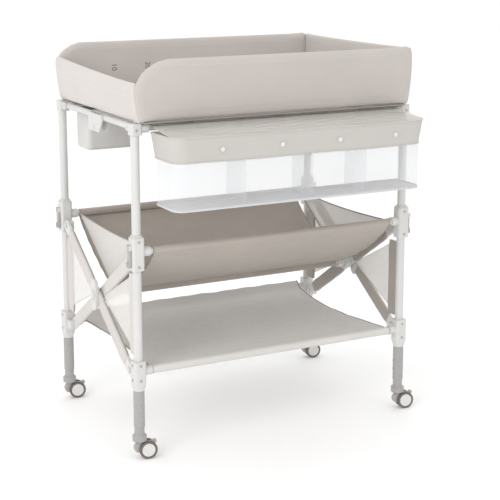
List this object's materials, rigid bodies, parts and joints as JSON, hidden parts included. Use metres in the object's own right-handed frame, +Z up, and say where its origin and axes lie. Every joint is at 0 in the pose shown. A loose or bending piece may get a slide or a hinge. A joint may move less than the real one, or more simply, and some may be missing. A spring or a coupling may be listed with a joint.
{
  "type": "changing table",
  "caption": "Folding baby changing table on castors with a padded walled tray, scissor ends, a sling basket, a lower shelf and a front organiser.",
  "frame": {"origin": "on the floor under the middle of the whole table's bounding box", "axes": "+X along the table to the user's right, +Y from the front (the organiser's side) to the back, +Z up"},
  "size_m": [0.8399, 0.678, 1],
  "materials": {
    "white_tube": "gloss white powder coat",
    "grey_tube": "satin grey",
    "white_plastic": "satin white moulding",
    "grey_plastic": "fine matte grey moulding",
    "tray_fabric": "padded warm light grey woven cloth",
    "taupe_fabric": "taupe woven cloth",
    "mesh_fabric": "off-white mesh with a bound edge",
    "organiser_fabric": "light grey-beige woven cloth",
    "clear_film": "clear flexible film",
    "tyre": "taupe-brown tread with a light disc face"
  },
  "bodies": {
    "front_frame": {"legs_front": "white_tube", "lower_joints_front": "white_plastic", "lower_rail_front": "white_tube", "top_fittings_front": "white_plastic", "top_rail_front": "white_tube", "tray_wall_front": "tray_fabric", "tray_end_left": "tray_fabric", "tray_end_right": "tray_fabric", "organiser_rim": "organiser_fabric", "organiser_pocket": "clear_film", "organiser_base": "grey_plastic", "organiser_cover": "clear_film", "gussets_front": "mesh_fabric", "shelf": "taupe_fabric"},
    "back_frame": {"legs_back": "white_tube", "lower_joints_back": "white_plastic", "lower_rail_back": "white_tube", "top_fittings_back": "white_plastic", "top_rail_back": "white_tube", "tray_wall_back": "tray_fabric", "side_box": "white_plastic", "gussets_back": "mesh_fabric"},
    "arms_a": {"arm_a_left": "white_tube", "arm_a_right": "white_tube", "cross_tube": "white_tube", "basket_back": "taupe_fabric"},
    "arms_b": {"arm_b_left": "white_tube", "arm_b_right": "white_tube", "basket_front": "taupe_fabric", "basket_ends": "mesh_fabric"},
    "sliders_front": {"slider_front_left": "white_plastic", "slider_front_right": "white_plastic", "mid_rail_front": "white_tube"},
    "sliders_back": {"slider_back_left": "white_plastic", "slider_back_right": "white_plastic", "mid_rail_back": "white_tube"},
    "rails_front": {"end_rails_front": "white_tube", "tray_floor_front": "tray_fabric"},
    "rails_back": {"end_rails_back": "white_tube", "tray_floor_back": "tray_fabric"},
    "latch_front_left": {"latch_front_left": "grey_plastic"},
    "latch_front_right": {"latch_front_right": "grey_plastic"},
    "latch_back_left": {"latch_back_left": "grey_plastic"},
    "latch_back_right": {"latch_back_right": "grey_plastic"},
    "foot_front_left": {"foot_front_left": "grey_tube"},
    "castor_front_left": {"castor_front_left": "grey_plastic"},
    "wheel_front_left": {"wheel_front_left": "tyre"},
    "brake_front_left": {"brake_front_left": "grey_plastic"},
    "foot_front_right": {"foot_front_right": "grey_tube"},
    "castor_front_right": {"castor_front_right": "grey_plastic"},
    "wheel_front_right": {"wheel_front_right": "tyre"},
    "brake_front_right": {"brake_front_right": "grey_plastic"},
    "foot_back_left": {"foot_back_left": "grey_tube"},
    "castor_back_left": {"castor_back_left": "grey_plastic"},
    "wheel_back_left": {"wheel_back_left": "tyre"},
    "brake_back_left": {"brake_back_left": "grey_plastic"},
    "foot_back_right": {"foot_back_right": "grey_tube"},
    "castor_back_right": {"castor_back_right": "grey_plastic"},
    "wheel_back_right": {"wheel_back_right": "tyre"},
    "brake_back_right": {"brake_back_right": "grey_plastic"}
  },
  "joints": [
    {"name": "fold", "type": "hinge", "parent": "front_frame", "child": "arms_a", "pos_m": [-0.00966, -0.158, 0.222], "axis": [1, 0, 0], "range_deg": [0, 45.85], "deforming": ["tray_floor_front", "tray_floor_back", "tray_end_left", "tray_end_right", "basket_front", "basket_back", "basket_ends", "gussets_front", "gussets_back", "shelf"]},
    {"name": "hub", "type": "hinge", "parent": "arms_a", "child": "arms_b", "pos_m": [-0.00966, 0.059, 0.363], "axis": [1, 0, 0], "range_deg": [-91.7, 0]},
    {"name": "back_leg_pivot", "type": "hinge", "parent": "arms_b", "child": "back_frame", "pos_m": [-0.00966, 0.276, 0.222], "axis": [1, 0, 0], "range_deg": [0, 45.86]},
    {"name": "front_slider_pivot", "type": "hinge", "parent": "arms_b", "child": "sliders_front", "pos_m": [-0.00966, -0.158, 0.504], "axis": [1, 0, 0], "range_deg": [0, 45.86]},
    {"name": "back_slider_pivot", "type": "hinge", "parent": "arms_a", "child": "sliders_back", "pos_m": [-0.00966, 0.276, 0.504], "axis": [1, 0, 0], "range_deg": [-45.86, 0]},
    {"name": "front_end_rail", "type": "hinge", "parent": "front_frame", "child": "rails_front", "pos_m": [-0.00966, -0.158, 0.832], "axis": [1, 0, 0], "range_deg": [0, 81.16]},
    {"name": "back_end_rail", "type": "hinge", "parent": "back_frame", "child": "rails_back", "pos_m": [-0.00966, 0.276, 0.832], "axis": [1, 0, 0], "range_deg": [-81.16, 0]},
    {"name": "latch_front_left", "type": "hinge", "parent": "sliders_front", "child": "latch_front_left", "pos_m": [-0.41406, -0.191, 0.543], "axis": [0, 1, 0], "range_deg": [0, 14], "stiffness_Nm_per_rad": 0.2},
    {"name": "latch_front_right", "type": "hinge", "parent": "sliders_front", "child": "latch_front_right", "pos_m": [0.39474, -0.191, 0.543], "axis": [0, -1, 0], "range_deg": [0, 14], "stiffness_Nm_per_rad": 0.2},
    {"name": "latch_back_left", "type": "hinge", "parent": "sliders_back", "child": "latch_back_left", "pos_m": [-0.41406, 0.309, 0.543], "axis": [0, 1, 0], "range_deg": [0, 14], "stiffness_Nm_per_rad": 0.2},
    {"name": "latch_back_right", "type": "hinge", "parent": "sliders_back", "child": "latch_back_right", "pos_m": [0.39474, 0.309, 0.543], "axis": [0, -1, 0], "range_deg": [0, 14], "stiffness_Nm_per_rad": 0.2},
    {"name": "foot_front_left", "type": "slide", "parent": "front_frame", "child": "foot_front_left", "axis": [0, 0, -1], "range_m": [0, 0.075]},
    {"name": "swivel_front_left", "type": "hinge", "parent": "foot_front_left", "child": "castor_front_left", "pos_m": [-0.39466, -0.191, 0.05], "axis": [0, 0, 1], "continuous": true},
    {"name": "roll_front_left", "type": "hinge", "parent": "castor_front_left", "child": "wheel_front_left", "pos_m": [-0.37491, -0.19413, 0.023], "axis": [-0.1564, -0.9877, 0], "continuous": true},
    {"name": "brake_front_left", "type": "hinge", "parent": "castor_front_left", "child": "brake_front_left", "pos_m": [-0.37886, -0.1935, 0.0405], "axis": [0.1564, 0.9877, 0], "range_deg": [0, 10]},
    {"name": "foot_front_right", "type": "slide", "parent": "front_frame", "child": "foot_front_right", "axis": [0, 0, -1], "range_m": [0, 0.075]},
    {"name": "swivel_front_right", "type": "hinge", "parent": "foot_front_right", "child": "castor_front_right", "pos_m": [0.37534, -0.191, 0.05], "axis": [0, 0, 1], "continuous": true},
    {"name": "roll_front_right", "type": "hinge", "parent": "castor_front_right", "child": "wheel_front_right", "pos_m": [0.39509, -0.19413, 0.023], "axis": [-0.1564, -0.9877, 0], "continuous": true},
    {"name": "brake_front_right", "type": "hinge", "parent": "castor_front_right", "child": "brake_front_right", "pos_m": [0.39114, -0.1935, 0.0405], "axis": [0.1564, 0.9877, 0], "range_deg": [0, 10]},
    {"name": "foot_back_left", "type": "slide", "parent": "back_frame", "child": "foot_back_left", "axis": [0, 0, -1], "range_m": [0, 0.075]},
    {"name": "swivel_back_left", "type": "hinge", "parent": "foot_back_left", "child": "castor_back_left", "pos_m": [-0.39466, 0.309, 0.05], "axis": [0, 0, 1], "continuous": true},
    {"name": "roll_back_left", "type": "hinge", "parent": "castor_back_left", "child": "wheel_back_left", "pos_m": [-0.37491, 0.30587, 0.023], "axis": [-0.1564, -0.9877, 0], "continuous": true},
    {"name": "brake_back_left", "type": "hinge", "parent": "castor_back_left", "child": "brake_back_left", "pos_m": [-0.37886, 0.3065, 0.0405], "axis": [0.1564, 0.9877, 0], "range_deg": [0, 10]},
    {"name": "foot_back_right", "type": "slide", "parent": "back_frame", "child": "foot_back_right", "axis": [0, 0, -1], "range_m": [0, 0.075]},
    {"name": "swivel_back_right", "type": "hinge", "parent": "foot_back_right", "child": "castor_back_right", "pos_m": [0.37534, 0.309, 0.05], "axis": [0, 0, 1], "continuous": true},
    {"name": "roll_back_right", "type": "hinge", "parent": "castor_back_right", "child": "wheel_back_right", "pos_m": [0.39509, 0.30587, 0.023], "axis": [-0.1564, -0.9877, 0], "continuous": true},
    {"name": "brake_back_right", "type": "hinge", "parent": "castor_back_right", "child": "brake_back_right", "pos_m": [0.39114, 0.3065, 0.0405], "axis": [0.1564, 0.9877, 0], "range_deg": [0, 10]}
  ],
  "couplings": [
    {"joint": "hub", "follows": "fold", "ratio": -2},
    {"joint": "back_leg_pivot", "follows": "fold", "ratio": 1},
    {"joint": "front_slider_pivot", "follows": "fold", "ratio": 1},
    {"joint": "back_slider_pivot", "follows": "fold", "ratio": -1},
    {"joint": "front_end_rail", "follows": "fold", "ratio": 1.77},
    {"joint": "back_end_rail", "follows": "fold", "ratio": -1.77}
  ]
}
